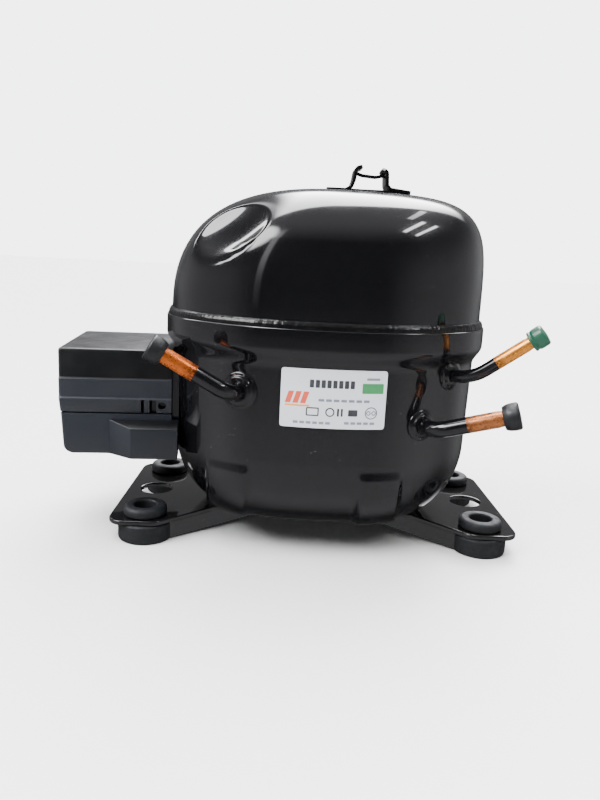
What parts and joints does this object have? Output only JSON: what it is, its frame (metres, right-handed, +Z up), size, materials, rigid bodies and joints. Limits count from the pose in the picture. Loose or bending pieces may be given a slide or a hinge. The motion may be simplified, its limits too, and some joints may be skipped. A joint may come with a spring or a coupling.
{
  "type": "hermetic reciprocating compressor",
  "caption": "Welded black dome casing on two foot plates, with copper line stubs, a terminal box and a spring-hung piston pump and motor inside.",
  "frame": {"origin": "centre of the mounting rectangle on the surface that the grommets stand on", "axes": "+X to the discharge side, along the foot plates' long spacing; +Y to the back, away from the label; +Z up"},
  "size_m": [0.2371, 0.1444, 0.1883],
  "materials": {
    "casing_paint": "gloss black-blue baked paint",
    "weld_paint": "rough painted weld",
    "bracket_paint": "gloss black paint",
    "foot_paint": "gloss black paint",
    "grommet_rubber": "matte",
    "label_film": "satin",
    "tube_copper": "drawn copper, part painted black",
    "plug_rubber": "matte",
    "plug_green": "satin",
    "housing_plastic": "matte",
    "cover_plastic": "matte",
    "fence_steel": "gloss black paint",
    "terminal_steel": "satin",
    "relay_plastic": "matte",
    "protector_shell": "satin",
    "brass_screw": "satin",
    "connector_plastic": "matte",
    "lamination_steel": "satin",
    "winding_copper": "enamelled wire",
    "plain_steel": "satin",
    "lead_insulation": "matte",
    "cage_aluminium": "satin",
    "crank_iron": "ground",
    "block_iron": "as cast",
    "rod_aluminium": "satin",
    "piston_iron": "ground",
    "gasket_fibre": "matte",
    "reed_steel": "polished",
    "head_aluminium": "as cast",
    "muffler_plastic": "matte",
    "loop_copper": "satin",
    "spring_steel": "satin",
    "cap_plastic": "matte"
  },
  "bodies": {
    "casing": {"upper_shell": "casing_paint", "lower_shell": "casing_paint", "weld_bead": "weld_paint", "top_bracket": "bracket_paint", "foot_plate_left": "foot_paint", "foot_plate_right": "foot_paint", "grommet_front_left": "grommet_rubber", "grommet_front_right": "grommet_rubber", "grommet_rear_left": "grommet_rubber", "grommet_rear_right": "grommet_rubber", "rating_label": "label_film", "process_collar": "casing_paint", "discharge_collar": "casing_paint", "suction_collar": "casing_paint", "process_tube": "tube_copper", "discharge_tube": "tube_copper", "suction_tube": "tube_copper", "terminal_fence": "fence_steel", "hermetic_terminal": "terminal_steel", "terminal_housing": "housing_plastic", "starter_relay": "relay_plastic", "overload_protector": "protector_shell", "earth_screw": "brass_screw", "inner_connector": "connector_plastic", "motor_leads": "lead_insulation", "discharge_loop": "loop_copper", "spring_front_left": "spring_steel", "spring_front_right": "spring_steel", "spring_rear_left": "spring_steel", "spring_rear_right": "spring_steel", "spring_seats": "plain_steel"},
    "cover": {"terminal_cover": "cover_plastic"},
    "process_stopper": {"process_plug": "plug_rubber"},
    "discharge_stopper": {"discharge_plug": "plug_green"},
    "suction_stopper": {"suction_plug": "plug_rubber"},
    "pump": {"stator_core": "lamination_steel", "stator_windings": "winding_copper", "stator_bolts": "plain_steel", "cylinder_block": "block_iron", "thrust_washer": "plain_steel", "valve_gasket": "gasket_fibre", "suction_reed": "reed_steel", "valve_plate": "plain_steel", "discharge_reed": "reed_steel", "reed_stop": "plain_steel", "head_gasket": "gasket_fibre", "cylinder_head": "head_aluminium", "head_bolts": "plain_steel", "suction_muffler": "muffler_plastic", "discharge_muffler": "block_iron", "spring_caps": "cap_plastic"},
    "crank": {"rotor_core": "lamination_steel", "rotor_cage": "cage_aluminium", "crankshaft": "crank_iron", "counterweight": "plain_steel", "oil_pickup": "plain_steel"},
    "rod": {"connecting_rod": "rod_aluminium"},
    "piston_set": {"piston": "piston_iron", "wrist_pin": "plain_steel"}
  },
  "joints": [
    {"name": "cover_pull", "type": "slide", "parent": "casing", "child": "cover", "axis": [-0.9945, -0.1045, 0], "range_m": [0, 0.06]},
    {"name": "process_plug_pull", "type": "slide", "parent": "casing", "child": "process_stopper", "axis": [-0.8519, -0.1207, 0.5096], "range_m": [0, 0.04]},
    {"name": "discharge_plug_pull", "type": "slide", "parent": "casing", "child": "discharge_stopper", "axis": [0.7309, -0.2898, 0.6179], "range_m": [0, 0.04]},
    {"name": "suction_plug_pull", "type": "slide", "parent": "casing", "child": "suction_stopper", "axis": [0.9041, -0.2974, 0.3069], "range_m": [0, 0.04]},
    {"name": "pump_float", "type": "slide", "parent": "casing", "child": "pump", "axis": [0, 0, 1], "range_m": [-0.003, 0.003], "stiffness_N_per_m": 16000, "springref_m": 0.0026, "deforming": ["spring_front_left", "spring_front_right", "spring_rear_left", "spring_rear_right", "discharge_loop", "motor_leads"]},
    {"name": "crank_spin", "type": "hinge", "parent": "pump", "child": "crank", "pos_m": [-0.007, 0, 0.1], "axis": [0, 0, 1], "range_deg": [-40, 40]},
    {"name": "rod_swing", "type": "hinge", "parent": "crank", "child": "rod", "pos_m": [-0.007, -0.009, 0.126], "axis": [0, 0, 1], "range_deg": [-41, 41]},
    {"name": "piston_slide", "type": "slide", "parent": "pump", "child": "piston_set", "axis": [1, 0, 0], "range_m": [-0.0062, 0.0062]}
  ],
  "couplings": [
    {"joint": "rod_swing", "follows": "crank_spin", "ratio": -1},
    {"joint": "piston_slide", "follows": "crank_spin", "m_per_rad": 0.00845}
  ]
}
